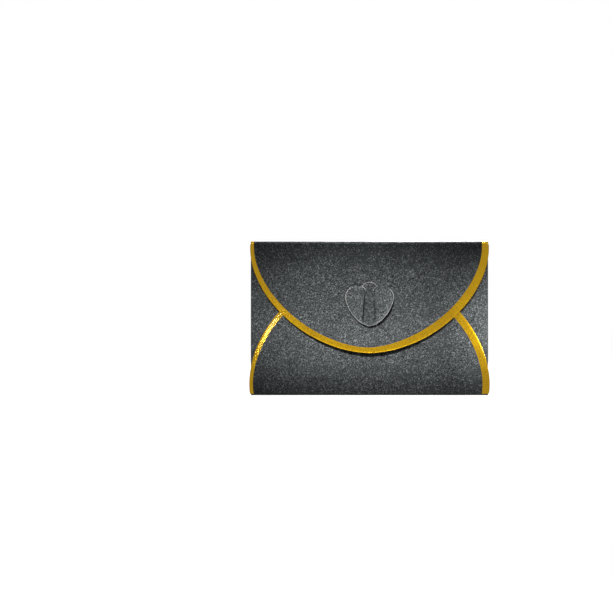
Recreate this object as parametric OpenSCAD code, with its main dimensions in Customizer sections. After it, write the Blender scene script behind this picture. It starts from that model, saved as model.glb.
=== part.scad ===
// Gift card holder: a paper envelope for one card, cut from a single sheet, folded and glued.
// Two side flaps and a domed pocket panel fold over the address panel and make the card pocket.
// The rounded top flap closes over them, and a tongue cut in the pocket panel comes out through
// a heart-shaped tab that is cut in the flap. Gold foil is stamped into the paper.
// The holder stands upright: X is its width, Z its height, and the flap is on the -Y side.

/* [Holder] */
// Width across the side folds
holder_w = 105; // [98:1:120]
// Height from the bottom fold to the top fold
holder_h = 68; // [66:1:80]
// Thickness of the paper
paper = 0.3; // [0.25:0.01:0.4]
// Depth inside the card pocket
card_gap = 1.2; // [1:0.05:2]
// Thickness of the glue between a side flap and the pocket panel
glue = 0.1; // [0.05:0.01:0.2]
// Air between the pocket panel and the closed flap
flap_gap = 0.25; // [0.2:0.01:0.5]
// Outer radius of the bottom fold's two edges
bottom_r = 0.6; // [0.5:0.05:0.9]

/* [Side flaps] */
// Width of a side flap, from the side fold to its inner edge
side_flap_w = 20; // [17:0.5:26]
// Distance of a side flap's upper end below the top fold
side_flap_drop = 2.6; // [2.4:0.1:6]
// How far a side flap's upper edge slopes down towards the middle
side_flap_slope = 6; // [3:0.5:9]
// Distance of a side flap's lower end above the bottom
side_flap_foot = 0.8; // [0.7:0.1:3]
// Radius of a side flap's inner corners
side_flap_r = 4; // [2:0.5:6]
// Width of a glue strip
glue_w = 4; // [2:0.5:5]
// Distance from the side fold to the outer edge of a glue strip
glue_inset = 11; // [10:0.5:12]
// Length of a glue strip
glue_l = 26; // [18:1:28]
// Height of a glue strip's lower end above the bottom
glue_foot = 3; // [2:0.5:6]

/* [Pocket panel] */
// How far the domed panel stands out past a side fold at its widest
panel_overhang = 0.7; // [0:0.1:1.5]
// Distance from the top fold down to the top of the dome
panel_drop = 12.8; // [10:0.2:15]
// Height above the bottom at which the dome is widest
panel_base = 5; // [3:0.5:8]
// Fullness of the dome: 2 is an ellipse, and less is more pointed
panel_fullness = 1.9; // [1.7:0.05:2.2]

/* [Top flap] */
// How far the flap stands out past a side fold at its widest
flap_overhang = 0.3; // [0:0.1:1]
// Distance from the top fold to the flap's lowest point
flap_reach = 49.3; // [46:0.1:52]
// Distance below the top fold at which the flap's curve starts
flap_shoulder = 3.3; // [2.5:0.1:5]
// Fullness of the flap's curve: 2 is an ellipse, and less is more pointed
flap_fullness = 1.81; // [1.7:0.01:2.2]

/* [Foil] */
// Thickness of the foil, which lies flush in the paper
foil = 0.05; // [0.03:0.01:0.08]
// Width of the band along the curved edges, where it is least
band_w = 2.4; // [1.6:0.1:3]
// How far the flap's band was stamped off centre
flap_band_shift = 0.7; // [0:0.1:1]
// How far the pocket panel's band was stamped off centre
panel_band_shift = 0.8; // [0:0.1:1.2]
// Fullness of the inner edge of the flap's band, which is less than the flap's own
flap_band_fullness = 1.72; // [1.65:0.01:1.8]
// Fullness of the inner edge of the pocket panel's band
panel_band_fullness = 1.84; // [1.65:0.01:1.9]
// Width of the line of the address frame
line_w = 1; // [0.6:0.1:1.6]
// Mean distance from the holder's edges to the middle of that line
frame_inset = 4.65; // [3.5:0.05:6]
// How far the frame was stamped off centre sideways
frame_shift = 0.4; // [0:0.1:1]
// How far the frame was stamped low
frame_low = 0.3; // [0:0.1:0.8]
// Radius of the hollow that takes each upper corner off the frame
frame_corner_r = 5.05; // [3:0.05:7]

/* [Heart tab] */
// Distance from the top fold to the centres of the heart's two lobes
heart_drop = 24.5; // [23.5:0.1:26]
// Radius of a lobe
lobe_r = 5.1; // [4.8:0.05:5.4]
// Distance from the middle line to the centre of a lobe
lobe_side = 6.1; // [5.9:0.05:6.3]
// Distance from the lobes' centres down to the heart's tip
heart_tip = 13.5; // [13.1:0.1:15]
// Fullness of the heart's sides
heart_fullness = 1.65; // [1.5:0.05:1.8]
// Distance from the top of the lobes down to the crease that the tab swings on
crease_drop = 1.2; // [0.9:0.1:1.6]
// How far the tab springs out of the flap at rest, in degrees
tab_lift = 3; // [1:0.5:5]
// Width of the cuts in the paper
cut = 0.12; // [0.1:0.01:0.16]

/* [Clasp tongue] */
// Radius of the tongue's round head
head_r = 4.15; // [4:0.05:4.4]
// Height of the head's centre above the lobes' centres
head_rise = 2.45; // [2.3:0.05:2.6]
// Width of the stem just under the head
neck_w = 3.7; // [3.4:0.1:4]
// Width of the stem at its foot
foot_w = 5.6; // [5:0.1:6]
// Distance from the lobes' centres down to the crease at the tongue's foot
tongue_foot = 11.3; // [11:0.1:11.6]
// Room for the tongue's foot to swing in, below its crease
foot_room = 0.45; // [0.4:0.05:0.6]
// How far the head stands out of the closed flap
head_proud = 0.12; // [0.05:0.01:0.3]

/* [Hidden] */

paper_colour = "#46494b";
foil_colour = "#c9971f";
glue_colour = "#d8d4c4";

// Faces of the sheets, counted from the flap side's -Y to the address side's +Y
depth = 3 * paper + card_gap + glue + flap_gap + paper;
back_out = depth / 2;
back_in = back_out - paper;
side_in = back_in - card_gap;
side_out = side_in - paper;
panel_in = side_out - glue;
panel_out = panel_in - paper;
flap_in = panel_out - flap_gap;
flap_out = flap_in - paper;

half_w = holder_w / 2;
top_r = depth / 2;
fold_z = holder_h - top_r;
side_r = (back_out - side_out) / 2;
side_y = (back_out + side_out) / 2;
side_top = holder_h - side_flap_drop;
edge_x = half_w - side_r;
bottom_mid = (back_out + panel_out) / 2;
bottom_half = (back_out - panel_out) / 2;

panel_mid = panel_out + paper / 2;
flap_mid = flap_out + paper / 2;
lobe_z = holder_h - heart_drop;
crease_z = lobe_z + lobe_r - crease_drop;
foot_z = lobe_z - tongue_foot;
head_z = lobe_z + head_rise;
tongue_lean = asin((flap_gap + paper + head_proud) / (head_z - foot_z));
curve_steps = 96;
small = 0.01;
$fn = 96;

// A flat sheet whose outline is drawn in X and Z. Its face towards +Y is at y.
module sheet(y, thickness) {
    translate([0, y, 0])
        rotate([90, 0, 0])
            linear_extrude(thickness) children();
}

// A bar along X, centred, whose section is drawn in Y and Z
module along_x(length) {
    translate([-length / 2, 0, 0])
        rotate([90, 0, 90])
            linear_extrude(length) children();
}

// Points of |x/a|^n + |y/b|^n = 1 from one angle to another, anticlockwise
function curve(a, b, n, from, to, steps) = [
    for (i = [0 : steps])
        let (
            angle = from + (to - from) * i / steps,
            c = cos(angle),
            s = sin(angle)
        )
        [a * sign(c) * pow(abs(c), 2 / n), b * sign(s) * pow(abs(s), 2 / n)]
];

// A quarter of a ring in the corner towards +X and +Y
module quarter_ring(r, wall) {
    intersection() {
        difference() {
            circle(r);
            circle(r - wall);
        }
        square(r);
    }
}

// The U of a folded edge that opens towards -Y: two quarter rings and a flat between them
module fold_section(half, r, wall) {
    for (side = [-1, 1])
        scale_side(side)
            translate([half - r, 0]) quarter_ring(r, wall);
    flat = 2 * (half - r);
    if (flat > small)
        translate([-flat / 2, r - wall]) square([flat, wall]);
}

module scale_side(side) {
    if (side < 0)
        mirror([1, 0]) children();
    else
        children();
}

// --- the address panel and the folds that join the other panels to it ---

// The concave-cornered frame, grown outwards by the given amount
module frame_outline(grow) {
    w = holder_w - 2 * frame_inset;
    h = holder_h - 2 * frame_inset;
    translate([-frame_shift, holder_h / 2 - frame_low])
        difference() {
            square([w + 2 * grow, h + 2 * grow], center = true);
            for (side = [-1, 1])
                translate([side * w / 2, h / 2]) circle(frame_corner_r - grow);
        }
}

module frame_line() {
    difference() {
        frame_outline(line_w / 2);
        frame_outline(-line_w / 2);
    }
}

module back_panel() {
    color(paper_colour)
        difference() {
            sheet(back_out, paper)
                union() {
                    translate([-edge_x, bottom_r]) square([2 * edge_x, fold_z - bottom_r]);
                    translate([-half_w, side_top]) square([holder_w, fold_z - side_top]);
                }
            sheet(back_out + small, foil + small) frame_line();
        }
}

module address_frame_foil() {
    color(foil_colour) sheet(back_out, foil) frame_line();
}

module side_fold(side) {
    color(paper_colour)
        translate([side * edge_x, side_y, side_flap_foot])
            rotate([0, 0, -90 * side])
                linear_extrude(side_top - side_flap_foot)
                    fold_section(side_r, side_r, paper);
}

module left_fold() {
    side_fold(-1);
}

module right_fold() {
    side_fold(1);
}

module bottom_fold() {
    color(paper_colour)
        translate([0, bottom_mid, bottom_r])
            along_x(holder_w)
                mirror([0, 1]) fold_section(bottom_half, bottom_r, paper);
}

module top_fold() {
    color(paper_colour)
        translate([0, 0, fold_z])
            along_x(holder_w) fold_section(top_r, top_r, paper);
}

// --- the side flaps, folded in over the card ---

// A flap with a sloping upper edge and round inner corners, on the +X side
module side_flap_outline() {
    inner = edge_x - side_flap_w;
    upper = side_top - side_flap_slope;
    r = side_flap_r;
    slope = atan2(side_flap_slope, side_flap_w);
    polygon(concat(
        [[edge_x, side_flap_foot], [edge_x, side_top]],
        [for (a = [90 + slope : (90 - slope) / 12 : 180.01])
            [inner + r, upper - r] + r * [cos(a), sin(a)]],
        [for (a = [180 : 7.5 : 270])
            [inner + r, side_flap_foot + r] + r * [cos(a), sin(a)]]
    ));
}

module side_flap(side) {
    color(paper_colour)
        sheet(side_in, paper)
            scale_side(side) side_flap_outline();
}

module left_side_flap() {
    side_flap(-1);
}

module right_side_flap() {
    side_flap(1);
}

module glue_strip(side) {
    color(glue_colour)
        sheet(side_out, glue)
            scale_side(side)
                translate([half_w - glue_inset - glue_w, glue_foot]) square([glue_w, glue_l]);
}

module left_glue_strip() {
    glue_strip(-1);
}

module right_glue_strip() {
    glue_strip(1);
}

// --- the domed pocket panel and its tongue ---

// The dome, shrunk by the band's width and shifted for the foil's inner edge
module dome_outline(shrink, shift, fullness) {
    a = half_w + panel_overhang - shrink;
    b = holder_h - panel_drop - panel_base - shrink;
    intersection() {
        translate([-shift, panel_base])
            polygon(curve(a, b, fullness, 0, 360 - 360 / curve_steps, curve_steps - 1));
        translate([-holder_w, bottom_r]) square([2 * holder_w, holder_h]);
    }
}

module panel_band() {
    difference() {
        dome_outline(0, 0, panel_fullness);
        dome_outline(band_w, panel_band_shift, panel_band_fullness);
    }
}

// The two lobes of the heart
module lobes(r) {
    for (side = [-1, 1])
        translate([side * lobe_side, lobe_z]) circle(r);
}

// The tongue's outline, grown all round and lengthened below its foot. Its head lies between
// the lobes, so the lobes' own arcs cut its lower sides, and its stem widens down to the foot.
module tongue_outline(grow, room) {
    difference() {
        translate([0, head_z]) circle(head_r + grow);
        lobes(lobe_r + cut - grow);
        translate([-head_r * 2, head_z - head_r * 2]) square([head_r * 4, head_r * 2]);
    }
    neck = neck_w / 2 + grow;
    neck_z = lobe_z + sqrt(pow(lobe_r + cut - grow, 2) - pow(lobe_side - neck, 2)) + cut / 2;
    taper = (foot_w - neck_w) / 2 / (neck_z - foot_z);
    foot = foot_w / 2 + grow + taper * room;
    polygon([[-foot, foot_z - room], [foot, foot_z - room], [neck, neck_z], [-neck, neck_z]]);
}

module front_panel() {
    color(paper_colour)
        difference() {
            sheet(panel_in, paper)
                difference() {
                    dome_outline(0, 0, panel_fullness);
                    tongue_outline(cut, 0);
                }
            sheet(panel_out + foil, foil + small) panel_band();
        }
}

module panel_foil() {
    color(foil_colour) sheet(panel_out + foil, foil) panel_band();
}

// The tongue leans out from the crease at its foot, so that its head comes through the flap
module clasp_tongue() {
    color(paper_colour)
        translate([0, panel_mid, foot_z])
            rotate([tongue_lean, 0, 0])
                translate([0, -panel_mid, -foot_z])
                    sheet(panel_in, paper) tongue_outline(0, -cut);
}

// --- the top flap and its heart-shaped tab ---

module flap_outline(shrink, shift, fullness) {
    a = half_w + flap_overhang - shrink;
    b = flap_reach - flap_shoulder - shrink;
    start_z = holder_h - flap_shoulder;
    translate([-shift, start_z])
        polygon(concat(
            curve(a, b, fullness, 180, 360, curve_steps),
            [[a, fold_z - start_z], [-a, fold_z - start_z]]
        ));
}

module flap_band() {
    difference() {
        flap_outline(0, 0, flap_fullness);
        flap_outline(band_w, flap_band_shift, flap_band_fullness);
    }
}

// The heart: two round lobes over a rounded point, shrunk all round
module heart_outline(shrink) {
    a = lobe_side + lobe_r - shrink;
    b = heart_tip - shrink;
    lobes(lobe_r - shrink);
    translate([0, lobe_z]) polygon(curve(a, b, heart_fullness, 180, 360, curve_steps / 2));
}

// What the knife takes out of the heart below its crease
module below_crease(gap) {
    intersection() {
        children();
        translate([-holder_w / 2, 0]) square([holder_w, crease_z - gap]);
    }
}

module top_flap() {
    color(paper_colour)
        difference() {
            sheet(flap_in, paper)
                difference() {
                    flap_outline(0, 0, flap_fullness);
                    below_crease(0) heart_outline(0);
                    tongue_outline(cut, foot_room);
                }
            sheet(flap_out + foil, foil + small) flap_band();
        }
}

module flap_foil() {
    color(foil_colour) sheet(flap_out + foil, foil) flap_band();
}

// The tab springs out about its crease
module heart_tab() {
    color(paper_colour)
        translate([0, flap_mid, crease_z])
            rotate([-tab_lift, 0, 0])
                translate([0, -flap_mid, -crease_z])
                    sheet(flap_in, paper)
                        difference() {
                            below_crease(cut) heart_outline(cut);
                            tongue_outline(cut, foot_room);
                        }
}

back_panel();
left_fold();
right_fold();
left_side_flap();
right_side_flap();
bottom_fold();
left_glue_strip();
right_glue_strip();
front_panel();
panel_foil();
address_frame_foil();
clasp_tongue();
top_fold();
top_flap();
flap_foil();
heart_tab();
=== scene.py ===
import math

import bpy
import numpy as np
from mathutils import Matrix, Vector


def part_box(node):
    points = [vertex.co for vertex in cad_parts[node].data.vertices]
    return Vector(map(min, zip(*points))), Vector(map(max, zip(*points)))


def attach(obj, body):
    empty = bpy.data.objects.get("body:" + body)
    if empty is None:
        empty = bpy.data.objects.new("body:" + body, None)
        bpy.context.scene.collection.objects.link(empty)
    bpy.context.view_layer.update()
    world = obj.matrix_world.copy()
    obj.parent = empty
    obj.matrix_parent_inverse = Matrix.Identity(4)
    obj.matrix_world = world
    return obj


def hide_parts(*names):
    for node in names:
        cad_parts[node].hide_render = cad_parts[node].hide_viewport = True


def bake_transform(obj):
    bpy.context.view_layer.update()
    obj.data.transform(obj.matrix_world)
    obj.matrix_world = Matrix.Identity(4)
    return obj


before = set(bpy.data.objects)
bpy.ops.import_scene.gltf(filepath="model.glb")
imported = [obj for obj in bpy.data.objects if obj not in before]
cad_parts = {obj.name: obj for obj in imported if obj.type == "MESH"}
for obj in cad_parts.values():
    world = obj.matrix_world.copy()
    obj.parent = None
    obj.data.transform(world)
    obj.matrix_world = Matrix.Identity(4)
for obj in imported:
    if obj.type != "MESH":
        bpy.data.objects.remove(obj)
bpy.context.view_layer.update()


# --- Address panel -------------------------------------------------------------------------
# The middle of the die-cut sheet: 0.3 mm paper with a pale core, under a charcoal coating whose
# pearl shows as a fine bright grain. The other panels are creased off its edges, and handling
# has bowed it out a little.

MM = 0.001
panel_low, panel_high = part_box("back_panel")
PAPER = panel_high.y - panel_low.y
HALF_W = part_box("bottom_fold")[1].x
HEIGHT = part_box("top_fold")[1].z
FOLD_EDGE = -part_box("left_side_flap")[0].x
BOTTOM_R = panel_low.z
FOLD_Z = panel_high.z
SHOULDER_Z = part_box("right_fold")[1].z
ADDRESS_Y = (panel_low.y + panel_high.y) / 2
ADDRESS_BOW = 0.8 * MM
HAIR = 0.01 * MM
TINY = 1e-9
CUT_EDGE = 0.08 * MM, 0.06 * MM
FOIL_EDGE = HAIR, HAIR
SHARP_TURN = math.radians(25)

PAPER_DARK = (0.013, 0.015, 0.016, 1)
PAPER_LIGHT = (0.125, 0.135, 0.138, 1)
FLAKE = (0.42, 0.45, 0.46, 1)
PAPER_CORE = (0.68, 0.69, 0.68, 1)
GRAIN_SCALE, FLAKE_SCALE, CLOUD_SCALE, RUBBED_SCALE = 2200, 2800, 70, 900
FIBRE_SCALE, DRAWN_SCALE = 2600, 500


def with_inset(sheet, axis, width):
    """Adds a line of points just inside the first line and the last one along an axis: each
    lies the given width from its edge, or half way to the next line where that is nearer, and
    keeps the edge's own normal."""
    lines = np.moveaxis(sheet, axis, 0)
    inside = []
    for edge, neighbour in ((lines[0], lines[1]), (lines[-1], lines[-2])):
        step = neighbour[..., :3] - edge[..., :3]
        length = np.maximum(np.linalg.norm(step, axis=-1, keepdims=True), TINY)
        moved = edge.copy()
        moved[..., :3] += step * np.minimum(width / length, 0.5)
        inside.append(moved[None])
    lines = np.concatenate([lines[:1], inside[0], lines[1:-1], inside[1], lines[-1:]])
    return np.moveaxis(lines, 0, axis)


def shell(name, middle, outward, thickness, ring=False, edge_size=CUT_EDGE, plain=None):
    """A sheet made solid. Its outer face is middle[i, j] + outward[i, j] * thickness / 2 and its
    inner face is middle - the same. At a cut edge they slope together over the edge size's
    width by its depth, but not where plain(x, z) is true: there the paper goes on, or the edge
    is out of sight. A ring's last column joins its first."""
    roll, chamfer = edge_size
    sheet = with_inset(np.concatenate([middle, outward], -1), 0, roll)
    if not ring:
        sheet = with_inset(sheet, 1, roll)
    middle, outward = sheet[..., :3], sheet[..., 3:]
    rows, columns = middle.shape[:2]
    edge = np.zeros((rows, columns), bool)
    edge[[0, -1]] = True
    if not ring:
        edge[:, [0, -1]] = True
    if plain:
        edge &= ~plain(middle[..., 0], middle[..., 2])
    half = np.where(edge, thickness / 2 - chamfer, thickness / 2)[..., None]
    outer = (middle + outward * half).reshape(-1, 3)
    inner = (middle - outward * half).reshape(-1, 3)

    index = np.arange(rows * columns).reshape(rows, columns)
    here = index if ring else index[:, :-1]
    beside = np.roll(index, -1, axis=1) if ring else index[:, 1:]
    face = np.stack([here[:-1], beside[:-1], beside[1:], here[1:]], -1).reshape(-1, 4)
    if ring:
        loops = [index[0], index[-1][::-1]]
    else:
        loops = [np.concatenate(
            [index[0, :-1], index[:-1, -1], index[-1, :0:-1], index[:0:-1, 0]]
        )]
    walls = [
        np.stack([np.roll(loop, -1), loop, loop + index.size, np.roll(loop, -1) + index.size], -1)
        for loop in loops
    ]
    across = outer[face[:, 2]] - outer[face[:, 0]]
    along = outer[face[:, 3]] - outer[face[:, 1]]
    facing = (np.cross(across, along) * outward.reshape(-1, 3)[face[:, 0]]).sum()
    faces = np.concatenate([face, face[:, ::-1] + index.size, *walls])
    if facing < 0:
        faces = faces[:, ::-1]
    cut = edge.ravel()[face].any(1)
    rim = np.concatenate([edge.ravel()[loop] for loop in loops])
    cut = np.concatenate([cut, cut, rim])

    mesh = bpy.data.meshes.new(name)
    mesh.from_pydata(np.concatenate([outer, inner]).tolist(), [], faces.tolist())
    mesh.polygons.foreach_set("material_index", cut.astype(np.int32))
    mesh.polygons.foreach_set("use_smooth", ~cut)
    mesh.update()
    mesh.set_sharp_from_angle(angle=SHARP_TURN)
    piece = bpy.data.objects.new(name, mesh)
    bpy.context.scene.collection.objects.link(piece)
    return piece


def flat_sheet(name, x, z, y, thickness, side=-1, ring=False, edge_size=CUT_EDGE, plain=None):
    """A panel: the middle surface is (x, y(x, z), z), and its outer face looks along side * Y."""
    middle = np.stack([x, y(x, z), z], -1)
    outward = np.zeros_like(middle)
    outward[..., 1] = side
    return shell(name, middle, outward, thickness, ring, edge_size, plain)


def dress(piece, slot, body, nodes, *materials):
    """Gives a piece its materials, hides the CAD nodes that it stands for, and hangs it on the
    body that it rides on. The slot is not used. Without a body, the piece is hung on none."""
    for material in materials:
        piece.data.materials.append(material)
    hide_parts(*nodes)
    if body:
        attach(piece, body)


def new_material(name):
    """An empty node material, with its shader already joined to its output."""
    material = bpy.data.materials.new(name)
    material.use_nodes = True
    tree = material.node_tree
    tree.nodes.clear()
    output = tree.nodes.new("ShaderNodeOutputMaterial")
    shader = tree.nodes.new("ShaderNodeBsdfPrincipled")
    tree.links.new(shader.outputs["BSDF"], output.inputs["Surface"])
    return material, tree, shader


def node(tree, kind, values=()):
    """A node, with its inputs set to values or linked from sockets."""
    made = tree.nodes.new("ShaderNode" + kind)
    for key, value in dict(values).items():
        if isinstance(value, bpy.types.NodeSocket):
            tree.links.new(value, made.inputs[key])
        else:
            made.inputs[key].default_value = value
    return made


def colour_mix(tree, factor, a, b, blend="MIX"):
    """Two colours mixed by a factor, each a value or a socket."""
    made = tree.nodes.new("ShaderNodeMix")
    made.data_type = "RGBA"
    made.blend_type = blend
    for socket, value in zip((made.inputs[0], made.inputs[6], made.inputs[7]), (factor, a, b)):
        if isinstance(value, bpy.types.NodeSocket):
            tree.links.new(value, socket)
        else:
            socket.default_value = value
    return made.outputs[2]


def noise(tree, place, scale, detail, roughness=0.5):
    """Soft lumps about 1 / scale metres wide, as a value between 0 and 1."""
    made = node(tree, "TexNoise", {
        "Vector": place, "Scale": scale, "Detail": detail, "Roughness": roughness,
    })
    return made.outputs["Fac"]


def spread(tree, value, low, high, to_low=0.0, to_high=1.0):
    """A value carried straight from the range low to high onto the range to_low to to_high, and
    held at the range's ends."""
    made = node(tree, "MapRange", {
        "Value": value, "From Min": low, "From Max": high, "To Min": to_low, "To Max": to_high,
    })
    return made.outputs["Result"]


def emboss(tree, shader, height, strength, depth):
    """Tips the shader's normal as if the height stood out by up to the depth."""
    relief = node(tree, "Bump", {"Height": height, "Strength": strength, "Distance": depth})
    tree.links.new(relief.outputs["Normal"], shader.inputs["Normal"])


def pearl_paper(name, wear=0.0):
    """Charcoal paper under a pearl coat: a grain of about 0.5 mm, bright flakes in it, broad
    faint clouds, and rubbed fibres where wear is above 0."""
    material, tree, shader = new_material(name)
    place = node(tree, "TexCoord").outputs["Object"]
    grain = noise(tree, place, GRAIN_SCALE, 3, 0.6)
    flakes = node(tree, "TexVoronoi", {"Vector": place, "Scale": FLAKE_SCALE})
    lit = node(tree, "SeparateColor", {"Color": flakes.outputs["Color"]}).outputs["Red"]
    clouds = noise(tree, place, CLOUD_SCALE, 3)
    colour = colour_mix(tree, spread(tree, grain, 0.38, 0.64), PAPER_DARK, PAPER_LIGHT)
    colour = colour_mix(tree, spread(tree, lit, 0.80, 1.0, to_high=0.6), colour, FLAKE)
    colour = colour_mix(tree, 1.0, colour, spread(tree, clouds, 0.3, 0.7, 0.9, 1.1), "MULTIPLY")
    if wear:
        rubbed = noise(tree, place, RUBBED_SCALE, 5)
        colour = colour_mix(tree, spread(tree, rubbed, 0.5, 0.75, to_high=wear), colour, FLAKE)
    tree.links.new(colour, shader.inputs["Base Color"])
    tree.links.new(spread(tree, grain, 0.3, 0.7, 0.56, 0.40), shader.inputs["Roughness"])
    shader.inputs["Metallic"].default_value = 0.22
    shader.inputs["Specular IOR Level"].default_value = 0.12
    emboss(tree, shader, grain, 0.35, 0.03 * MM)
    return material


def cut_paper(name):
    """The sheet's cut edge: the paler core of the paper, in fibres, and here and there covered
    by the coating that the knife has drawn over it."""
    material, tree, shader = new_material(name)
    place = node(tree, "TexCoord").outputs["Object"]
    fibre = noise(tree, place, FIBRE_SCALE, 5)
    drawn = noise(tree, place, DRAWN_SCALE, 2)
    core = colour_mix(tree, spread(tree, drawn, 0.36, 0.46, to_low=0.5), PAPER_LIGHT, PAPER_CORE)
    core = colour_mix(tree, spread(tree, fibre, 0.3, 0.55), PAPER_DARK, core)
    tree.links.new(core, shader.inputs["Base Color"])
    shader.inputs["Roughness"].default_value = 0.8
    emboss(tree, shader, fibre, 0.5, 0.05 * MM)
    return material


def address_bow(x, z):
    """Half a sine wave up the panel times a parabola across it, nothing at the folds."""
    up = np.clip((z - BOTTOM_R) / (FOLD_Z - BOTTOM_R), 0, 1)
    return ADDRESS_BOW * np.sin(math.pi * up) * np.clip(1 - (x / HALF_W) ** 2, 0, 1)


def address_surface(x, z):
    """The middle of the panel's paper: its own plane, plus the bow."""
    return ADDRESS_Y + address_bow(x, z)


paper = pearl_paper("pearl_paper")
paper_edge = cut_paper("paper_cut_edge")


def address_grid():
    """x = s * half width and z = the row's own height. The half width steps out from the side
    creases to the sheet's whole width at the shoulders."""
    z = np.concatenate([
        np.linspace(BOTTOM_R, SHOULDER_Z, 90), np.linspace(SHOULDER_Z + HAIR, FOLD_Z, 5),
    ])[:, None]
    x = np.where(z > SHOULDER_Z, HALF_W, FOLD_EDGE) * np.linspace(-1, 1, 140)
    return x, np.broadcast_to(z, x.shape)


x, z = address_grid()
address_panel = flat_sheet(
    "address_panel", x, z, address_surface, PAPER, side=1,
    plain=lambda x, z: (z < SHOULDER_Z) | (z > FOLD_Z - HAIR / 2),
)
dress(address_panel, "paper", "pocket", ["back_panel"], paper, paper_edge)


# --- Address frame -------------------------------------------------------------------------
# One line of gold foil, hot-stamped on the address panel as a rectangle whose upper corners
# are hollowed out by quarter circles. It was stamped a little low and to one side.

FOIL = 0.05 * MM
FOIL_PROUD = 0.012 * MM
LINE_W = 1.0 * MM
CORNER_R = 5.05 * MM
frame_low, frame_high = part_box("address_frame_foil")
FRAME_X = (frame_low.x + frame_high.x) / 2
FRAME_Z = (frame_low.z + frame_high.z) / 2
FRAME_HALF_W = (frame_high.x - frame_low.x - LINE_W) / 2
FRAME_HALF_H = (frame_high.z - frame_low.z - LINE_W) / 2
ADDRESS_FACE = panel_high.y

GOLD = (0.86, 0.52, 0.004, 1)
GOLD_DEEP = (0.70, 0.37, 0.003, 1)
DIMPLE_SCALE, FILM_SCALE = 1400, 160


def gold_foil(name):
    """Hot-stamped gold: a bright metal film under a clear lacquer, that takes the paper's grain
    as faint dimples."""
    material, tree, shader = new_material(name)
    place = node(tree, "TexCoord").outputs["Object"]
    dimples = noise(tree, place, DIMPLE_SCALE, 3)
    film = noise(tree, place, FILM_SCALE, 2)
    tree.links.new(colour_mix(tree, film, GOLD, GOLD_DEEP), shader.inputs["Base Color"])
    tree.links.new(spread(tree, dimples, 0.3, 0.7, 0.24, 0.36), shader.inputs["Roughness"])
    shader.inputs["Metallic"].default_value = 1.0
    shader.inputs["Coat Weight"].default_value = 0.5
    shader.inputs["Coat Roughness"].default_value = 0.12
    emboss(tree, shader, dimples, 0.04, 0.02 * MM)
    return material


def frame_loop(grow):
    """The frame's outline, grown by an amount, from the lower right corner anticlockwise: four
    straight sides, with a quarter circle about each upper corner of the rectangle."""
    w, h = FRAME_HALF_W + grow, FRAME_HALF_H + grow
    r = CORNER_R - grow
    cross = math.sqrt(r * r - grow * grow)
    turn = math.atan2(grow, -cross)
    angles = np.linspace(math.atan2(-cross, grow), turn - 2 * math.pi * (turn > 0), 24)
    hollow = np.stack([FRAME_HALF_W + r * np.cos(angles), FRAME_HALF_H + r * np.sin(angles)], -1)
    right = np.linspace([w, -h], hollow[0], 60)[:-1]
    top = np.linspace(hollow[-1], [0, h], 50)
    half = np.concatenate([right, hollow, top[1:]])
    bottom = np.linspace([-w, -h], [w, -h], 90)[1:-1]
    return np.concatenate([half, half[-2::-1] * [-1, 1], bottom]) + [FRAME_X, FRAME_Z]


gold = gold_foil("gold_foil")


def foil_sheet(name, inner, outer, rows, face, side, ring=False, rim=None):
    """A foil band from one line of points to another, straight across: point(s, t) =
    inner(s) + t * (outer(s) - inner(s)), with t a sine, so that the rows crowd at the outer
    line. It lies on the paper's face and stands a hair proud of it. With a rim its outer line
    follows the paper's cut edge down."""
    t = np.sin(np.linspace(0, math.pi / 2, rows))
    drop = np.zeros((rows, 1))
    if rim:
        t = np.append(t[:-1], [1 - rim[0] / np.abs(outer - inner).max(), 1])
        drop = np.append(drop, rim[1])[:, None]
    grid = inner[None] + t[:, None, None] * (outer - inner)[None]

    def surface(x, z):
        """The paper's face, out by the foil's stand and back by half the foil and the drop."""
        return face(x, z) + side * (FOIL_PROUD - FOIL / 2 - drop)

    return flat_sheet(name, grid[..., 0], grid[..., 1], surface, FOIL, side, ring, FOIL_EDGE)


def address_face(x, z):
    """The panel's outer face: its own plane, plus the bow."""
    return ADDRESS_FACE + address_bow(x, z)


frame_line = foil_sheet(
    "address_frame_line", frame_loop(-LINE_W / 2), frame_loop(LINE_W / 2), 6, address_face,
    side=1, ring=True,
)
dress(frame_line, "gold_foil", "pocket", ["address_frame_foil"], gold, gold)


# --- Side folds and bottom fold ------------------------------------------------------------
# The creases on three sides of the address panel, pressed round by the folding machine. The
# coating is rubbed a little where the paper turns.

worn_paper = pearl_paper("creased_paper", wear=0.15)


def fold_shell(name, section, length, axis, thickness=PAPER, edge_size=CUT_EDGE):
    """A fold: a section of points and normals in its own plane, carried straight along an axis.
    section is rows of (a, b, normal a, normal b), length is the line of places along the axis."""
    a, b, na, nb = (np.broadcast_to(c[:, None], (len(section), len(length))) for c in section.T)
    run = np.broadcast_to(length[None, :], a.shape)
    none = np.zeros_like(a)
    if axis == "x":
        middle, outward = np.stack([run, a, b], -1), np.stack([none, na, nb], -1)
    else:
        middle, outward = np.stack([a, b, run], -1), np.stack([na, nb, none], -1)

    def between(x, z):
        """All of the fold but its two ends."""
        place = x if axis == "x" else z
        return (place > length[0] + HAIR / 2) & (place < length[-1] - HAIR / 2)

    return shell(name, middle, outward, thickness, edge_size=edge_size, plain=between)


def arc(centre, radius, start, stop, count):
    """Points of an arc in degrees, each with its outward normal."""
    angle = np.radians(np.linspace(start, stop, count))
    normal = np.stack([np.cos(angle), np.sin(angle)], -1)
    return np.concatenate([np.array(centre) + radius * normal, normal], -1)


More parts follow.
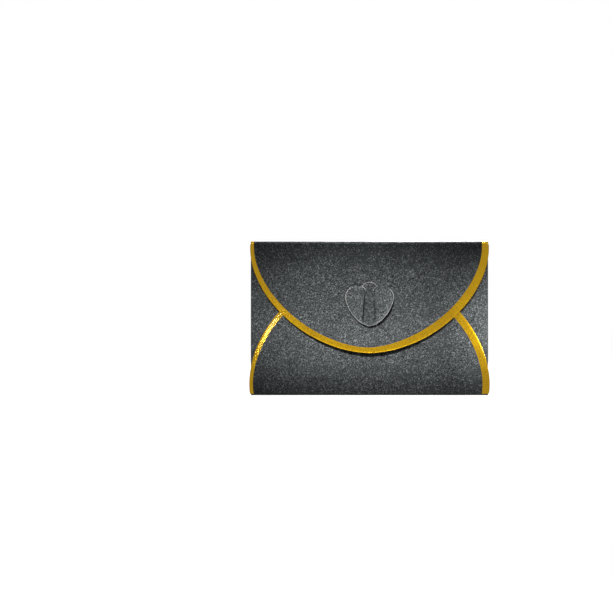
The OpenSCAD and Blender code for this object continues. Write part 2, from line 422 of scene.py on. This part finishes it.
side_low, side_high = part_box("right_fold")
SIDE_R = (side_high.y - side_low.y) / 2
SIDE_Y = (side_high.y + side_low.y) / 2
side_run = np.linspace(side_low.z, side_high.z, 60)
for side_name, side in (("left", -1), ("right", 1)):
    centre = (side * FOLD_EDGE, SIDE_Y)
    section = arc(centre, SIDE_R - PAPER / 2, 90, 90 - 180 * side, 18)
    fold = fold_shell(side_name + "_side_fold", section, side_run, "z")
    dress(fold, "paper", "pocket", [side_name + "_fold"], worn_paper, paper_edge)

bottom_low, bottom_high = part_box("bottom_fold")
bottom_run = np.linspace(-HALF_W, HALF_W, 120)
turn_r = BOTTOM_R - PAPER / 2
section = np.concatenate([
    arc((bottom_high.y - BOTTOM_R, BOTTOM_R), turn_r, 0, -90, 10),
    arc((bottom_low.y + BOTTOM_R, BOTTOM_R), turn_r, -90, -180, 10),
])
fold = fold_shell("bottom_edge_fold", section, bottom_run, "x")
dress(fold, "paper", "pocket", ["bottom_fold"], worn_paper, paper_edge)


# --- Side flaps ----------------------------------------------------------------------------
# Two wings of the sheet, folded in under the pocket panel, with a sloping upper edge and round
# inner corners. A strip of white paper glue holds the pocket panel down on each of them.

SIDE_FLAP_SLOPE = 6 * MM
SIDE_FLAP_R = 4 * MM
POCKET_BOW = 0.85 * MM
POCKET_SPAN = 60 * MM
POCKET_DRAWN = 0.75
wing_low, wing_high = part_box("right_side_flap")
WING_Y = (wing_low.y + wing_high.y) / 2

GLUE_PALE = (0.80, 0.78, 0.70, 1)
GLUE_CLEAR = (0.55, 0.52, 0.44, 1)
LUMP_SCALE = 700


def pocket_bow(x, z):
    """How far the pocket's front stands out: half a sine wave up it from the bottom fold, drawn
    down so that it rises fast there and has nearly died away at the dome's top, times a
    parabola across it."""
    up = np.clip((z - BOTTOM_R) / POCKET_SPAN, 0, 1) ** POCKET_DRAWN
    return POCKET_BOW * np.sin(math.pi * up) * np.clip(1 - (x / HALF_W) ** 2, 0, 1)


def wing_grid():
    """x from the fold to the inner edge, crowded at the round corners, and z from the lower
    edge to the upper one, each a straight line that ends in a quarter circle."""
    reach = wing_high.x - wing_low.x
    x = wing_low.x + reach * (0.5 + 0.5 * np.cos(np.linspace(0, math.pi, 50)))
    upper_z = wing_high.z - SIDE_FLAP_SLOPE
    slope = math.atan2(SIDE_FLAP_SLOPE, reach)
    centre_x, centre_z = wing_low.x + SIDE_FLAP_R, upper_z - SIDE_FLAP_R
    rise = np.sqrt(np.clip(SIDE_FLAP_R ** 2 - (x - centre_x) ** 2, 0, None))
    turn_x = centre_x - SIDE_FLAP_R * math.sin(slope)
    turn_z = centre_z + SIDE_FLAP_R * math.cos(slope)
    line = turn_z + (x - turn_x) * (wing_high.z - turn_z) / (wing_high.x - turn_x)
    top = np.where(x > turn_x, line, centre_z + rise)
    bottom = np.where(x > centre_x, wing_low.z, wing_low.z + SIDE_FLAP_R - rise)
    z = bottom + np.linspace(0, 1, 80)[:, None] * (top - bottom)
    return np.broadcast_to(x, z.shape), z


def glue_paste(name):
    """Dried white paper glue, thin and uneven."""
    material, tree, shader = new_material(name)
    place = node(tree, "TexCoord").outputs["Object"]
    lumps = noise(tree, place, LUMP_SCALE, 3)
    tree.links.new(colour_mix(tree, lumps, GLUE_CLEAR, GLUE_PALE), shader.inputs["Base Color"])
    shader.inputs["Roughness"].default_value = 0.45
    emboss(tree, shader, lumps, 1.0, 0.05 * MM)
    return material


glue = glue_paste("dried_glue")
for side_name, side in (("left", -1), ("right", 1)):
    x, z = wing_grid()
    wing = flat_sheet(
        side_name + "_wing", side * x, z, lambda x, z: WING_Y - pocket_bow(x, z), PAPER,
        plain=lambda x, z: np.abs(x) > wing_high.x - HAIR,
    )
    dress(wing, "paper", "pocket", [side_name + "_side_flap"], paper, paper_edge)

    low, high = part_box(side_name + "_glue_strip")
    x, z = np.meshgrid(np.linspace(low.x, high.x, 8), np.linspace(low.z, high.z, 40))
    glue_y = (low.y + high.y) / 2
    strip = flat_sheet(
        side_name + "_glue_line", x, z, lambda x, z: glue_y - pocket_bow(x, z),
        high.y - low.y, edge_size=FOIL_EDGE,
    )
    dress(strip, "glue", "pocket", [side_name + "_glue_strip"], glue, glue)


# --- Pocket panel --------------------------------------------------------------------------
# The domed front of the pocket, glued down on the side flaps. The tongue is cut out of it, and
# a gold band is stamped along its curved edge, a little off centre.

DOME_BASE = 5 * MM
DOME_FULLNESS = 1.9
BAND_W = 2.4 * MM
PANEL_BAND_SHIFT = 0.8 * MM
PANEL_BAND_FULLNESS = 1.84
PANEL_ROLL = 0.12 * MM
PANEL_ROLL_W = 0.22 * MM
dome_low, dome_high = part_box("front_panel")
DOME_A = dome_high.x
DOME_B = dome_high.z - DOME_BASE
PANEL_Y = (dome_low.y + dome_high.y) / 2

LOBE_Z = HEIGHT - 24.5 * MM
LOBE_R = 5.1 * MM
LOBE_SIDE = 6.1 * MM
CUT = 0.12 * MM
HEAD_R = 4.15 * MM
HEAD_Z = LOBE_Z + 2.45 * MM
NECK_HALF = 1.85 * MM
FOOT_HALF = 2.8 * MM
FOOT_Z = LOBE_Z - 11.3 * MM
FOOT_ROOM = 0.45 * MM
REACH = 150 * MM
HALVINGS = 48
NEAR_EDGE = 0.004
FOOT_STEPS, STEM_STEPS, LOBE_STEPS, HEAD_STEPS = 7, 39, 7, 17
TONGUE_FOOT = FOOT_STEPS
TONGUE_NECK = TONGUE_FOOT + STEM_STEPS
TONGUE_CORNER = TONGUE_NECK + LOBE_STEPS


def edge_distance(x, drop, a, b, fullness):
    """How far a point lies inside the curve |x/a|^n + |drop/b|^n = 1, along the line from the
    curve's centre."""
    share = (np.abs(x / a) ** fullness + np.clip(drop / b, 0, None) ** fullness) ** (1 / fullness)
    return np.hypot(x, drop) * np.clip(1 / np.maximum(share, 0.01) - 1, 0, None)


def panel_roll(x, z):
    """How far the panel's curved edge is rolled back by the knife, dying away inwards."""
    from_edge = edge_distance(x, z - DOME_BASE, DOME_A, DOME_B, DOME_FULLNESS)
    return PANEL_ROLL * np.exp(-from_edge / PANEL_ROLL_W)


def panel_surface(x, z):
    """The middle of the panel's paper: its own plane, out by the bow and back by the roll."""
    return PANEL_Y - pocket_bow(x, z) + panel_roll(x, z)


def tongue_half(grow, room):
    """The right half of the tongue's outline, from the middle of its foot up to the top of its
    head: the foot, the stem's slanting side, the lobe's arc under the head, and the head's arc.
    It is grown sideways by an amount, and its foot is lowered by the room."""
    neck, lobe_r, head_r = NECK_HALF + grow, LOBE_R + CUT - grow, HEAD_R + grow
    neck_z = LOBE_Z + math.sqrt(lobe_r ** 2 - (LOBE_SIDE - neck) ** 2)
    foot = FOOT_HALF + grow + (FOOT_HALF - NECK_HALF) / (neck_z - FOOT_Z) * room
    gap = math.hypot(LOBE_SIDE, HEAD_Z - LOBE_Z)
    lean = math.atan2(HEAD_Z - LOBE_Z, -LOBE_SIDE)
    bend = math.acos((gap ** 2 + lobe_r ** 2 - head_r ** 2) / (2 * gap * lobe_r))
    under = math.atan2(neck_z - LOBE_Z, neck - LOBE_SIDE)
    under = np.linspace(under, lean - bend, LOBE_STEPS + 1)
    under = np.stack([LOBE_SIDE + lobe_r * np.cos(under), LOBE_Z + lobe_r * np.sin(under)], -1)
    over = math.atan2(under[-1, 1] - HEAD_Z, under[-1, 0])
    over = np.linspace(over, math.pi / 2, HEAD_STEPS + 1)
    over = np.stack([head_r * np.cos(over), HEAD_Z + head_r * np.sin(over)], -1)
    base = np.linspace([0, FOOT_Z - room], [foot, FOOT_Z - room], FOOT_STEPS + 1)
    stem = np.linspace(base[-1], under[0], STEM_STEPS + 1)
    return np.concatenate([base[:-1], stem[:-1], under[:-1], over])


def mirrored(half):
    """A closed loop from its right half, which runs from the middle line to the middle line."""
    return np.concatenate([half, half[-2:0:-1] * [-1, 1]])


def rays_out(start, anchors, inside, rows):
    """A sheet round an opening: point(s, t) = start(s) + t * reach(s) * aim(s). The aims turn
    evenly between the anchors, given as {index: degrees}, and each ray reaches the place where
    inside(x, z) turns false, found by halving. start is the right half of the opening."""
    marks = sorted(anchors)
    angle = np.radians(np.interp(np.arange(len(start)), marks, [anchors[m] for m in marks]))
    aim = np.stack([np.cos(angle), np.sin(angle)], -1)
    low, high = np.zeros(len(start)), np.full(len(start), REACH)
    for _ in range(HALVINGS):
        middle = (low + high) / 2
        point = start + aim * middle[:, None]
        within = inside(point[:, 0], point[:, 1])
        low, high = np.where(within, middle, low), np.where(within, high, middle)
    start, end = mirrored(start), mirrored(start + aim * low[:, None])
    t = (0.5 - 0.5 * np.cos(np.linspace(0, math.pi, rows)))[:, None, None]
    grid = start + t * (end - start)
    return grid[..., 0], grid[..., 1]


def degrees_to(start, target):
    """The direction, in degrees, of the line from one point to another."""
    return math.degrees(math.atan2(target[1] - start[1], target[0] - start[0]))


def in_dome(x, z):
    """Above the bottom fold, and inside the curve |x/a|^n + |(z - base)/b|^n = 1."""
    arch = np.abs(x / DOME_A) ** DOME_FULLNESS + np.abs((z - DOME_BASE) / DOME_B) ** DOME_FULLNESS
    return (z >= BOTTOM_R) & (arch <= 1)


def arch_line(shrink, shift, fullness):
    """The dome's curve |x/a|^n + |(z - base)/b|^n = 1 from the bottom fold on the right over the
    top to the bottom fold on the left, shrunk and moved sideways."""
    a, b = DOME_A - shrink, DOME_B - shrink
    below = math.asin(((DOME_BASE - BOTTOM_R) / b) ** (fullness / 2))
    angle = np.linspace(-below, math.pi + below, 300)
    c, s = np.cos(angle), np.sin(angle)
    x = a * np.sign(c) * np.abs(c) ** (2 / fullness) - shift
    z = DOME_BASE + b * np.sign(s) * np.abs(s) ** (2 / fullness)
    return np.stack([x, z], -1)


opening = tongue_half(CUT, 0)
foot_share = (DOME_BASE - BOTTOM_R) / DOME_B
corner = DOME_A * (1 - foot_share ** DOME_FULLNESS) ** (1 / DOME_FULLNESS), BOTTOM_R + HAIR
x, z = rays_out(opening, {
    0: -90, TONGUE_FOOT: degrees_to(opening[TONGUE_FOOT], corner), TONGUE_NECK: 2,
    TONGUE_CORNER: 22, len(opening) - 1: 90,
}, in_dome, 46)


def not_the_arch(x, z):
    """All of the pocket panel but its curved edge: the bottom fold, and the tongue's opening."""
    return (z < BOTTOM_R + 2 * HAIR) | in_dome(x * (1 + NEAR_EDGE), z + NEAR_EDGE * DOME_B)


pocket_front = flat_sheet(
    "pocket_front", x, z, panel_surface, PAPER, ring=True, plain=not_the_arch
)
dress(pocket_front, "paper", "pocket", ["front_panel"], paper, paper_edge)


def panel_face(x, z):
    """The panel's outer face: its own plane, out by the bow and back by the roll."""
    return dome_low.y - pocket_bow(x, z) + panel_roll(x, z)


outer = arch_line(0, 0, DOME_FULLNESS)
inner = arch_line(BAND_W, PANEL_BAND_SHIFT, PANEL_BAND_FULLNESS)
band = foil_sheet("pocket_band", inner, outer, 12, panel_face, side=-1, rim=CUT_EDGE)
dress(band, "gold_foil", "pocket", ["panel_foil"], gold, gold)


# --- Top fold ------------------------------------------------------------------------------
# The crease that the flap swings on, pressed across the whole sheet. It is round, as it stays
# while the flap is closed, and hangs on neither the pocket nor the flap.

TOP_R = (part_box("top_fold")[1].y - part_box("top_fold")[0].y) / 2

section = arc((0, FOLD_Z), TOP_R - PAPER / 2, 0, 180, 30)
fold = fold_shell("top_edge_fold", section, np.linspace(-HALF_W, HALF_W, 160), "x")
dress(fold, "paper", None, ["top_fold"], worn_paper, paper_edge)
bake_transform(fold)


# --- Top flap ------------------------------------------------------------------------------
# The rounded flap that closes the pocket, with the heart's opening cut out of it, and a gold band
# stamped along its curved edge and over the ends of the fold. Its free edge stands off the
# pocket, because the paper springs back at the fold.

FLAP_SHOULDER = 3.3 * MM
FLAP_FULLNESS = 1.81
FLAP_BAND_SHIFT = 0.7 * MM
FLAP_BAND_FULLNESS = 1.72
FLAP_LIFT = 1.7 * MM
FLAP_ARCH = 0.7
GROOVE = 0.22 * MM
GROOVE_W = 0.30 * MM
GROOVE_INNER_W = 2.5 * GROOVE_W
GROOVE_FADE = 0.4 * MM
GROOVE_RIGHT = 0.35
EDGE_CURL = 0.07 * MM
EDGE_W = 0.30 * MM
EDGE_FADE = 0.25
CREASE_Z = LOBE_Z + LOBE_R - 1.2 * MM
NOTCH_X = LOBE_SIDE - math.sqrt(LOBE_R ** 2 - (CREASE_Z - LOBE_Z) ** 2)
HEART_TIP = 13.5 * MM
HEART_FULLNESS = 1.65
flap_low, flap_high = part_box("top_flap")
FLAP_A = flap_high.x
FLAP_START = HEIGHT - FLAP_SHOULDER
FLAP_TOP = FOLD_Z - 2 * HAIR
FLAP_B = FLAP_START - flap_low.z
FLAP_Y = (flap_low.y + flap_high.y) / 2


def flap_rise(x, z):
    """How far the flap stands out: as the square of the distance from the fold, less towards
    the sides, less in the grooves scored round the tops of the heart's lobes, which run out at
    the crease and are steeper outside and deeper on the left, and more at the curved edge,
    where the knife has left the paper turned up."""
    down = np.clip((FOLD_Z - z) / (FOLD_Z - flap_low.z), 0, 1)
    rise = FLAP_LIFT * down ** 2 * np.clip(1 - (x / FLAP_A) ** 2, 0, 1) ** FLAP_ARCH
    from_lobe = np.hypot(np.abs(x) - LOBE_SIDE, z - LOBE_Z) - LOBE_R
    groove = np.exp(-(from_lobe / np.where(from_lobe > 0, GROOVE_W, GROOVE_INNER_W)) ** 2)
    groove *= np.where(x < 0, 1, GROOVE_RIGHT) * np.clip((z - CREASE_Z) / GROOVE_FADE, 0, 1)
    from_edge = edge_distance(x, FLAP_START - z, FLAP_A, FLAP_B, FLAP_FULLNESS)
    turned = EDGE_CURL * np.exp(-from_edge / EDGE_W) * np.clip(down / EDGE_FADE, 0, 1)
    return rise - GROOVE * groove + turned


def flap_surface(x, z):
    """The middle of the flap's paper: its own plane, out by the rise."""
    return FLAP_Y - flap_rise(x, z)


def flap_face(x, z):
    """The flap's outer face: its own plane, out by the rise."""
    return flap_low.y - flap_rise(x, z)


def in_flap(x, z):
    """Below the fold, and inside the straight sides and the curve |x/a|^n + (drop/b)^n = 1."""
    down = np.clip((FLAP_START - z) / FLAP_B, 0, None)
    curve = np.abs(x / FLAP_A) ** FLAP_FULLNESS + down ** FLAP_FULLNESS
    return (z <= FLAP_TOP) & (curve <= 1)


def heart_side(shrink):
    """The right side of the heart from its tip up to the crease: a curve |x/a|^n + |d/b|^n = 1
    up to the widest place, then the lobe's arc."""
    a, b, r = LOBE_SIDE + LOBE_R - shrink, HEART_TIP - shrink, LOBE_R - shrink
    angle = np.linspace(-math.pi / 2, 0, 44)[:-1]
    c, s = np.abs(np.cos(angle)), np.abs(np.sin(angle))
    lower = np.stack([a * c ** (2 / HEART_FULLNESS), LOBE_Z - b * s ** (2 / HEART_FULLNESS)], -1)
    turn = np.linspace(0, math.asin((CREASE_Z - LOBE_Z) / r), 14)
    lobe = np.stack([LOBE_SIDE + r * np.cos(turn), LOBE_Z + r * np.sin(turn)], -1)
    return np.concatenate([lower, lobe])


def flap_opening():
    """The right half of the opening: the heart's side, back along the crease to the notch, and
    up round the tongue's head. With it come the places in it of the crease's outer and inner
    ends, and of the widest place of the head."""
    side = heart_side(0)
    head = tongue_half(CUT, FOOT_ROOM)[TONGUE_NECK:]
    head = head[head[:, 1] > CREASE_Z]
    crease = np.linspace(side[-1], [NOTCH_X, CREASE_Z], 16)[1:]
    loop = np.concatenate([side, crease, head])
    corner = len(side) + len(crease) + np.argmax(head[:, 0])
    return loop, len(side) - 1, len(side) + len(crease) - 1, corner


opening, crease_out, crease_in, head_corner = flap_opening()
x, z = rays_out(opening, {
    0: -90, crease_out: degrees_to(opening[crease_out], (FLAP_A, FOLD_Z)), crease_in: 41,
    head_corner: 50, len(opening) - 1: 90,
}, in_flap, 60)


def not_the_curve(x, z):
    """All of the flap but its curved edge: the top fold, and the heart's opening."""
    return (z > FLAP_TOP - HAIR) | in_flap(x * (1 + NEAR_EDGE), z - NEAR_EDGE * FLAP_B)


closing_flap = flat_sheet(
    "closing_flap", x, z, flap_surface, PAPER, ring=True, plain=not_the_curve
)
dress(closing_flap, "paper", "flap", ["top_flap"], paper, paper_edge)


def flap_line(shrink, shift, fullness):
    """The flap's outline from the fold on the right, down the short straight side, round the
    curve and up to the fold on the left, shrunk and moved sideways."""
    a, b = FLAP_A - shrink, FLAP_B - shrink
    angle = np.linspace(0, math.pi, 400)
    c, s = np.cos(angle), np.sin(angle)
    curve = np.stack([
        a * np.sign(c) * np.abs(c) ** (2 / fullness),
        FLAP_START - b * np.abs(s) ** (2 / fullness),
    ], -1)
    side = np.linspace([a, FLAP_TOP], [a, FLAP_START], 8)[:-1]
    return np.concatenate([side, curve, side[::-1] * [-1, 1]]) - [shift, 0]


outer = flap_line(0, 0, FLAP_FULLNESS)
inner = flap_line(BAND_W, FLAP_BAND_SHIFT, FLAP_BAND_FULLNESS)
band = foil_sheet("flap_band", inner, outer, 16, flap_face, side=-1, rim=CUT_EDGE)
dress(band, "gold_foil", "flap", ["flap_foil"], gold, gold)

section = arc((0, FOLD_Z), TOP_R + FOIL_PROUD - FOIL / 2, 96, 180, 12)
for side_name, ends in (("left", (-HALF_W, inner[-1, 0])), ("right", (inner[0, 0], HALF_W))):
    run = np.linspace(*ends, 6)
    strip = fold_shell(side_name + "_fold_band", section, run, "x", FOIL, FOIL_EDGE)
    dress(strip, "gold_foil", None, ["flap_foil"], gold, gold)
    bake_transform(strip)


# --- Heart tab -----------------------------------------------------------------------------
# The heart cut in the flap: two lobes that hang on creases near their tops and meet in a
# rounded tip, with a slot between them for the tongue. It springs out, and its edge curls.

TAB_GAP = 0.52 * MM
SLOT_GAP = 0.38 * MM
TAB_RISE = 1.0 * MM
TAB_SPAN = 24 * MM
TAB_LEAN = 0.035
TAB_CURL = 0.34 * MM
TAB_CURL_W = 0.50 * MM
CURL_FADE = 2 * MM
CURL_LEAN = 0.04
TIP_CURL = 0.3
TIP_HALF = 4 * MM
RIM = 0.20 * MM, 0.11 * MM
RIM_STEP = 0.60 * MM
RIM_LINES = np.array([2.5, 1, 0]) * RIM_STEP
HEART_COLUMNS = 90
SLOT_FOOT_SHARE = 0.12


def along(line, count, share):
    """Points at even steps along a line of points, with the given share of the steps spent
    before each of its marked corners."""
    length = np.append(0, np.cumsum(np.linalg.norm(np.diff(line, axis=0), axis=1)))
    marks = [0] + [length[i] for i, _ in share] + [length[-1]]
    at = np.interp(np.linspace(0, 1, count), [0] + [s for _, s in share] + [1], marks)
    return np.stack([np.interp(at, length, line[:, k]) for k in (0, 1)], -1)


def heart_grid(rows):
    """A band that runs from the tip round the slot's foot and up to the crease, mirrored: point
    (s, t) goes straight from the slot's edge at t = 0 to the heart's edge at t = 1. The last
    lines lie at fixed distances inside the heart's edge, where the paper is turned up."""
    slot = tongue_half(SLOT_GAP, FOOT_ROOM)[:TONGUE_CORNER]
    slot = np.concatenate([slot[slot[:, 1] < CREASE_Z], [[NOTCH_X, CREASE_Z]]])
    slot = along(slot, HEART_COLUMNS, [(TONGUE_FOOT, SLOT_FOOT_SHARE)])
    edge = along(heart_side(TAB_GAP), HEART_COLUMNS, [])
    width = np.linalg.norm(edge - slot, axis=1)
    rim = 1 - RIM_LINES[:, None] / width
    t = np.concatenate([rim[0] * np.linspace(0, 1, rows)[:-1, None], rim])[..., None]
    right = slot[None] + t * (edge - slot)[None]
    left = right[:, :0:-1] * [-1, 1]
    grid = np.concatenate([left, right], 1)
    return grid[..., 0], grid[..., 1]


def tab_surface(x, z):
    """The flap's own surface, sprung out below the crease by half a sine wave that is past its
    height at the tip, and turned up at the outer edge, which is the grid's last row: least at
    the tip, and not yet at the crease. Both are more on the right than on the left."""
    below = np.clip(CREASE_Z - z, 0, None)
    from_edge = np.hypot(x - x[-1], z - z[-1])
    beside = TIP_CURL + (1 - TIP_CURL) * np.clip(np.abs(x) / TIP_HALF, 0, 1) + CURL_LEAN * x / MM
    turned = TAB_CURL * beside * np.exp(-from_edge / TAB_CURL_W) * np.clip(below / CURL_FADE, 0, 1)
    rise = TAB_RISE * np.sin(math.pi * np.clip(below / TAB_SPAN, 0, 1)) * below / (below + MM)
    return flap_surface(x, z) - rise * (1 + TAB_LEAN * x / MM) - turned


def not_the_heart_edge(x, z):
    """All of the tab but the grid's last row."""
    return np.arange(len(x))[:, None] < len(x) - 1


x, z = heart_grid(34)
tab = flat_sheet(
    "heart_clasp_tab", x, z, tab_surface, PAPER, edge_size=RIM, plain=not_the_heart_edge
)
dress(tab, "paper", None, ["heart_tab"], paper, paper_edge)
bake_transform(tab)


# --- Tongue --------------------------------------------------------------------------------
# A mushroom shape cut in the pocket panel, and creased at its foot. Its round head comes out
# over the flap between the heart's lobes, and its stem lies in the heart's slot.

HEAD_PROUD = 0.22 * MM
HEAD_CURL = 0.35 * MM
ARC_ROLL = 0.14 * MM
LOBE_CURL = 0.20 * MM
RIM_W = 0.25 * MM
TONGUE_GAP = 0.04 * MM
HEAD_RIM = 0.32 * MM, 0.13 * MM
RIM_START = 0.3 * MM
EVEN_SHARE = 0.62


def tongue_grid(columns):
    """Rows up the tongue's side, from its foot to the corner of its head: x = s * half width,
    and z = the side's own, plus a share of the head's arc that grows from nothing at the neck
    to the whole at the corner, so the last row is the arc. The columns are even but for the
    outermost, which are wider to leave room for the head's rim."""
    side = tongue_half(-TONGUE_GAP, 0)[TONGUE_FOOT:TONGUE_CORNER + 1]
    s = np.concatenate([[-1], np.linspace(-EVEN_SHARE, EVEN_SHARE, columns - 2), [1]])[None]
    head_r = HEAD_R - TONGUE_GAP
    arc_z = HEAD_Z + np.sqrt(head_r ** 2 - (s * side[-1, 0]) ** 2) - side[-1, 1]
    above_neck = np.arange(len(side))[:, None] - STEM_STEPS
    return side[:, :1] * s, side[:, 1:] + np.clip(above_neck / LOBE_STEPS, 0, 1) * arc_z


def tongue_surface(x, z):
    """A straight slope from the crease in the pocket panel out to the head's place, and over
    the head's height a curl outwards, as the square of the distance from the neck. The
    knife's pressure has rolled the round edge back, and turned the two lower edges up."""
    top = HEAD_Z + HEAD_R
    foot_y = panel_surface(0, FOOT_Z)
    head_y = flap_surface(0, top) - HEAD_PROUD
    up = np.clip((z - LOBE_Z) / (top - LOBE_Z), 0, 1)
    slope = foot_y + (head_y - foot_y) * (z - FOOT_Z) / (top - FOOT_Z) - HEAD_CURL * up ** 2
    from_arc = np.clip(HEAD_R - np.hypot(x, z - HEAD_Z), 0, None)
    from_lobe = np.hypot(np.abs(x) - LOBE_SIDE, z - LOBE_Z) - LOBE_R - CUT
    rolled = ARC_ROLL * np.exp(-from_arc / RIM_W)
    turned = LOBE_CURL * np.exp(-np.clip(from_lobe, 0, None) / RIM_W)
    return slope + np.where(z > HEAD_Z, rolled - turned, 0)


x, z = tongue_grid(11)
tongue = flat_sheet(
    "clasp_tongue_sheet", x, z, tongue_surface, PAPER, edge_size=HEAD_RIM,
    plain=lambda x, z: z < HEAD_Z + RIM_START,
)
dress(tongue, "paper", None, ["clasp_tongue"], paper, paper_edge)
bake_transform(tongue)


# --- Studio --------------------------------------------------------------------------------
# A plain white floor, and lamps above the flap's side, low to the left and right in front of it,
# and behind the holder. The long lens stands square on to the flap's side, with the holder right
# of and below the middle of the picture.

PHOTO_PIXELS = 612
PIXELS_PER_MM = 2.262
HOLDER_CENTRE_PX = 369.52
HOLDER_BOTTOM_PX = 395.2
LENS = 200
SENSOR = 36
FLOOR_HALF = 4
LAMP_R = 8 * MM
ROOM_GLOW = 0.45
WHITE = (1, 1, 1, 1)

frame_width = PHOTO_PIXELS / PIXELS_PER_MM * MM
camera_x = (PHOTO_PIXELS / 2 - HOLDER_CENTRE_PX) / PIXELS_PER_MM * MM
camera_z = (HOLDER_BOTTOM_PX - PHOTO_PIXELS / 2) / PIXELS_PER_MM * MM
camera_data = bpy.data.cameras.new("camera")
camera_data.lens = LENS
camera_data.sensor_width = SENSOR
camera_data.clip_end = 50
camera = bpy.data.objects.new("camera", camera_data)
camera.location = (camera_x, flap_low.y - frame_width * LENS / SENSOR, camera_z)
camera.rotation_euler = (math.radians(90), 0, 0)
bpy.context.scene.collection.objects.link(camera)
bpy.context.scene.camera = camera
bpy.context.scene.view_settings.view_transform = "Standard"

floor_mesh = bpy.data.meshes.new("floor")
corners = FLOOR_HALF * np.array([(-1, -1, 0), (1, -1, 0), (1, 1, 0), (-1, 1, 0)])
floor_mesh.from_pydata(corners.tolist(), [], [(0, 1, 2, 3)])
floor = bpy.data.objects.new("floor", floor_mesh)
bpy.context.scene.collection.objects.link(floor)
white, tree, shader = new_material("white_floor")
shader.inputs["Base Color"].default_value = (0.8, 0.8, 0.8, 1)
shader.inputs["Roughness"].default_value = 0.9
shader.inputs["Specular IOR Level"].default_value = 0.0
shader.inputs["Emission Color"].default_value = WHITE
shader.inputs["Emission Strength"].default_value = 1.0
floor_mesh.materials.append(white)
floor.visible_diffuse = False
floor.visible_glossy = False
floor.visible_shadow = False


def hang(data, place, target, watts, stretch=1):
    """Puts a light at a place and aims it at a target, with its width kept level. A spotlight's
    beam is wider than high by the stretch."""
    data.energy = watts
    light = bpy.data.objects.new(data.name, data)
    back = (Vector(place) - Vector(target)).normalized()
    up = back.cross((1, 0, 0)).normalized()
    turn = Matrix((up.cross(back), up, back)).transposed()
    light.matrix_world = Matrix.LocRotScale(place, turn, (stretch, 1, 1))
    light.visible_camera = False
    bpy.context.scene.collection.objects.link(light)


def softbox(name, place, target, width, watts):
    """A square area light of the given width."""
    data = bpy.data.lights.new(name, "AREA")
    data.size = width
    hang(data, place, target, watts)


def spotlight(name, place, target, degrees, watts, stretch=1):
    """A round lamp of 16 mm, with a beam of the given angle that fades evenly from its middle to
    its rim."""
    data = bpy.data.lights.new(name, "SPOT")
    data.shadow_soft_size = LAMP_R
    data.spot_size = math.radians(degrees)
    data.spot_blend = 1
    hang(data, place, target, watts, stretch)


spotlight("overhead_spot", (-0.11, -0.37, 0.45), (0, 0, 0.033), 5, watts=18, stretch=3.2)
spotlight("overhead_streak", (-0.07, -0.37, 0.45), (0, 0, 0.0165), 2.2, watts=12, stretch=7)
spotlight("right_spot", (0.12, -0.37, 0.45), (0.055, 0, 0.032), 4.3, watts=22)
spotlight("left_glint", (-0.13, -1.0, 0.06), (-0.047, 0, 0.028), 1.3, watts=2.5)
spotlight("right_glint", (0.47, -0.95, 0.10), (0.048, 0, 0.025), 1.3, watts=9)
softbox("overhead_right", (0.30, -0.45, 0.55), (0, 0, 0.034), 0.15, watts=0.5)
spotlight("back_spot", (0.05, 0.37, 0.45), (0, 0, 0.060), 9, watts=18, stretch=2)
softbox("back", (0.25, 0.80, 0.22), (0, 0, 0.034), 0.25, watts=2.5)

# The room is white behind the holder, and a dimmer white in what the paper and the gold mirror.
world = bpy.data.worlds.new("studio")
bpy.context.scene.world = world
world.use_nodes = True
world.cycles_visibility.diffuse = False
tree = world.node_tree
tree.nodes.clear()
output = tree.nodes.new("ShaderNodeOutputWorld")
seen = node(tree, "Background", {"Color": WHITE, "Strength": 1.0})
mirrored_room = node(tree, "Background", {"Color": WHITE, "Strength": ROOM_GLOW})
path = node(tree, "LightPath")
mix = tree.nodes.new("ShaderNodeMixShader")
tree.links.new(path.outputs["Is Camera Ray"], mix.inputs[0])
tree.links.new(mirrored_room.outputs[0], mix.inputs[1])
tree.links.new(seen.outputs[0], mix.inputs[2])
tree.links.new(mix.outputs[0], output.inputs["Surface"])
